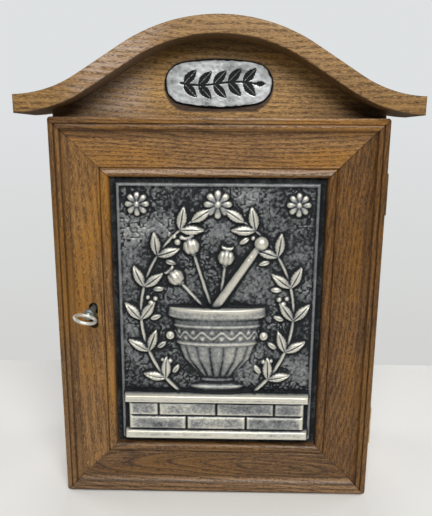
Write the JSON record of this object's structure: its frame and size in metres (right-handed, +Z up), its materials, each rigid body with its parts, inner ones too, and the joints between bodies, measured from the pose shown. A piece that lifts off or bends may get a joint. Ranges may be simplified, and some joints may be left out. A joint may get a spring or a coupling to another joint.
{
  "type": "wall medicine cabinet",
  "caption": "Small oak wall cabinet with an arched cornice, a moulded door round a cast relief panel, shelves inside, and a lock with its key.",
  "frame": {"origin": "centre of the carcass's underside, the face that it stands on", "axes": "+X to the right seen from the front, +Y to the wall, +Z up"},
  "size_m": [0.374, 0.1897, 0.4806],
  "materials": {
    "oak": "satin stain",
    "oak_front": "satin varnish",
    "oak_door": "satin stain and varnish",
    "beech": "bare",
    "plywood": "thin stain",
    "relief_pewter": "cast pewter, darkened and rubbed back",
    "plaque_pewter": "hammered pewter",
    "steel": "zinc plated",
    "brass": "dull",
    "nickel": "nickel plated"
  },
  "bodies": {
    "cabinet": {"side_left": "oak", "side_right": "oak", "top_board": "oak", "bottom_board": "oak", "back_panel": "plywood", "hanging_rail": "oak", "carcass_tongues": "beech", "shelf_lower": "oak", "shelf_upper": "oak", "shelf_pins": "steel", "pediment_board": "oak_front", "pediment_blocks": "oak", "arch_cornice": "oak_front", "pediment_plaque": "plaque_pewter", "hanger_plate_left": "steel", "hanger_plate_right": "steel", "hanger_screws": "steel", "strike_plate": "brass", "strike_screws": "brass", "hinge_leaf_case_lower": "brass", "hinge_leaf_case_upper": "brass", "hinge_pin_lower": "brass", "hinge_pin_upper": "brass", "hinge_screws_case": "brass"},
    "door": {"door_stile_left": "oak_door", "door_stile_right": "oak_door", "door_rail_top": "oak_door", "door_rail_bottom": "oak_door", "mitre_splines": "beech", "relief_panel": "relief_pewter", "panel_backing": "plywood", "turn_clips": "brass", "clip_screws": "brass", "hinge_leaf_door_lower": "brass", "hinge_leaf_door_upper": "brass", "hinge_screws_door": "brass", "lock_plate": "brass", "lock_case": "steel", "lock_drill_pin": "steel", "lock_screws": "brass", "lock_spring": "steel"},
    "bolt": {"lock_bolt": "brass"},
    "key": {"key": "nickel"}
  },
  "joints": [
    {"name": "door_hinge", "type": "hinge", "parent": "cabinet", "child": "door", "pos_m": [0.1632, -0.0646, 0.197], "axis": [0, 0, 1], "range_deg": [0, 180]},
    {"name": "key_turn", "type": "hinge", "parent": "door", "child": "key", "pos_m": [-0.1244, -0.09, 0.206], "axis": [0, -1, 0], "range_deg": [0, 180]},
    {"name": "bolt_slide", "type": "slide", "parent": "door", "child": "bolt", "axis": [-1, 0, 0], "range_m": [0, 0.007]}
  ],
  "couplings": [
    {"joint": "bolt_slide", "follows": "key_turn", "m_per_rad": 0.0022282}
  ]
}
